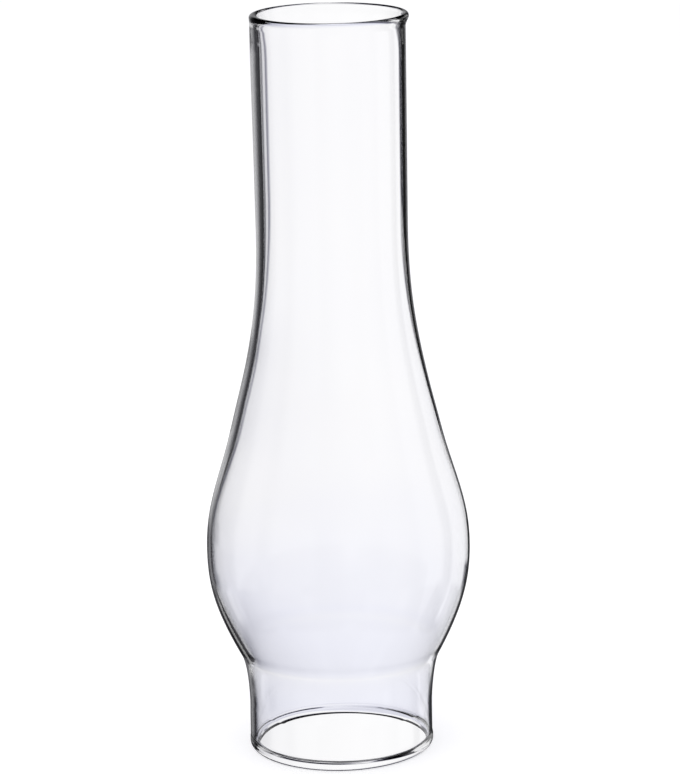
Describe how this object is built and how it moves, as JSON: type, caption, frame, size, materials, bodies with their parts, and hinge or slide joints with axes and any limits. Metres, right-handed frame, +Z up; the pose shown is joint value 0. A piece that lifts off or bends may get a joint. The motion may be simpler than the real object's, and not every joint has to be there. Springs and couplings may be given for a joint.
{
  "type": "oil lamp chimney",
  "caption": "Clear blown glass chimney for an oil lamp, open at both ends: straight collar, bulge round the flame and a long neck with a rounded, fire-polished rim.",
  "frame": {"origin": "centre of the foot, on the plane that the glass stands on", "axes": "+Z up the middle of the glass, from the foot to the rim; the glass is round about Z, so X and Y are free"},
  "size_m": [0.1084, 0.1084, 0.3048],
  "materials": {
    "clear_glass": "clear blown glass, smooth and glossy, with fire-polished ends"
  },
  "bodies": {
    "root": {"glass_chimney": "clear_glass"}
  },
  "joints": []
}
